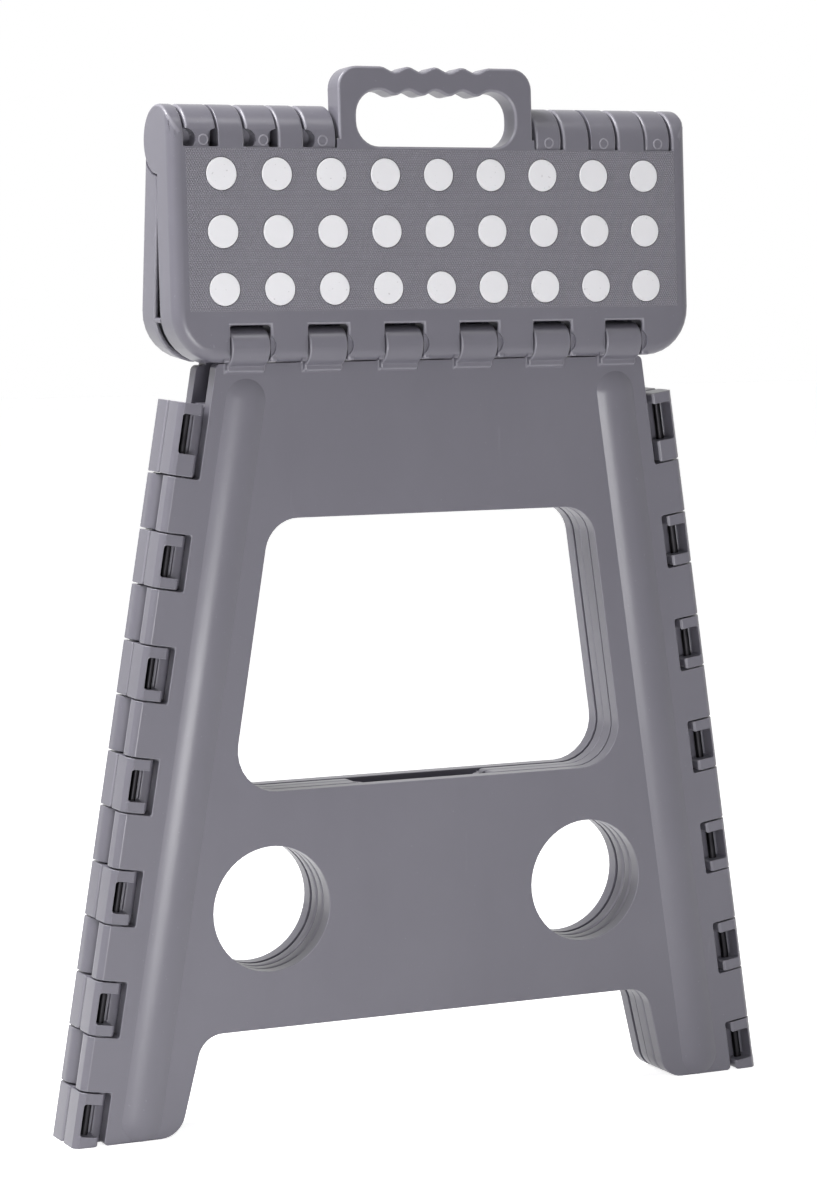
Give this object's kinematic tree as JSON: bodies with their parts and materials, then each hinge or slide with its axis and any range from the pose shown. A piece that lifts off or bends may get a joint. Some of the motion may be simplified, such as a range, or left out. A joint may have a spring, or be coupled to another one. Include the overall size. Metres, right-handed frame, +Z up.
{
  "type": "folding step stool",
  "caption": "Folding step stool: a split tread with a carrying handle hinged to two legs and two sides that fold flat between them.",
  "frame": {"origin": "on the floor, in the middle of the folded stack of legs and sides", "axes": "+Z up, front half of the tread towards -Y, +X to the right seen from the front"},
  "size_m": [0.4, 0.0502, 0.5392],
  "materials": {
    "plastic": "fine satin moulded surface",
    "grip": "smooth soft plastic",
    "pin": "drawn wire"
  },
  "bodies": {
    "ridge": {"right_ridge_pin": "pin", "left_ridge_pin": "pin"},
    "front_tread": {"front_tread": "plastic", "front_grip_discs": "grip", "front_hinge_pin": "pin"},
    "back_tread": {"back_tread": "plastic", "back_grip_discs": "grip", "back_hinge_pin": "pin"},
    "front_leg": {"front_leg": "plastic", "front_right_corner_pin": "pin", "front_left_corner_pin": "pin"},
    "back_leg": {"back_leg": "plastic", "back_right_corner_pin": "pin", "back_left_corner_pin": "pin"},
    "front_right_side": {"front_right_side": "plastic", "right_fold_pins": "pin"},
    "front_left_side": {"front_left_side": "plastic", "left_fold_pins": "pin"},
    "back_right_side": {"back_right_side": "plastic"},
    "back_left_side": {"back_left_side": "plastic"}
  },
  "joints": [
    {"name": "front_tread_fold", "type": "hinge", "parent": "ridge", "child": "front_tread", "pos_m": [0, 0, 0.50148], "axis": [-1, 0, 0], "range_deg": [0, 85.83]},
    {"name": "back_tread_fold", "type": "hinge", "parent": "ridge", "child": "back_tread", "pos_m": [0, 0, 0.50148], "axis": [1, 0, 0], "range_deg": [0, 85.83]},
    {"name": "front_leg_swing", "type": "hinge", "parent": "front_tread", "child": "front_leg", "pos_m": [0, -0.015, 0.399], "axis": [1, 0, 0], "range_deg": [0, 77.93]},
    {"name": "front_right_corner", "type": "hinge", "parent": "front_leg", "child": "front_right_side", "pos_m": [0.19271, -0.0088, 0], "axis": [0.1564, 0, -0.9877], "range_deg": [0, 91.24]},
    {"name": "front_left_corner", "type": "hinge", "parent": "front_leg", "child": "front_left_side", "pos_m": [-0.19271, -0.0088, 0], "axis": [0.1564, 0, 0.9877], "range_deg": [0, 91.24]},
    {"name": "right_side_fold", "type": "hinge", "parent": "front_right_side", "child": "back_right_side", "pos_m": [0.04069, 0, 0], "axis": [-0.0209, 0, 0.9998], "range_deg": [0, 180]},
    {"name": "left_side_fold", "type": "hinge", "parent": "front_left_side", "child": "back_left_side", "pos_m": [-0.04069, 0, 0], "axis": [-0.0209, 0, -0.9998], "range_deg": [0, 180]},
    {"name": "back_left_corner", "type": "hinge", "parent": "back_left_side", "child": "back_leg", "pos_m": [-0.19271, 0.0088, 0], "axis": [0.1564, 0, 0.9877], "range_deg": [0, 91.24]}
  ],
  "couplings": [
    {"joint": "back_tread_fold", "follows": "front_tread_fold", "ratio": 1},
    {"joint": "front_leg_swing", "follows": "front_tread_fold", "ratio": 0.90798},
    {"joint": "front_right_corner", "follows": "front_tread_fold", "ratio": 1.0631},
    {"joint": "front_left_corner", "follows": "front_tread_fold", "ratio": 1.0631},
    {"joint": "right_side_fold", "follows": "front_tread_fold", "ratio": 2.0973},
    {"joint": "left_side_fold", "follows": "front_tread_fold", "ratio": 2.0973},
    {"joint": "back_left_corner", "follows": "front_tread_fold", "ratio": 1.0631}
  ]
}
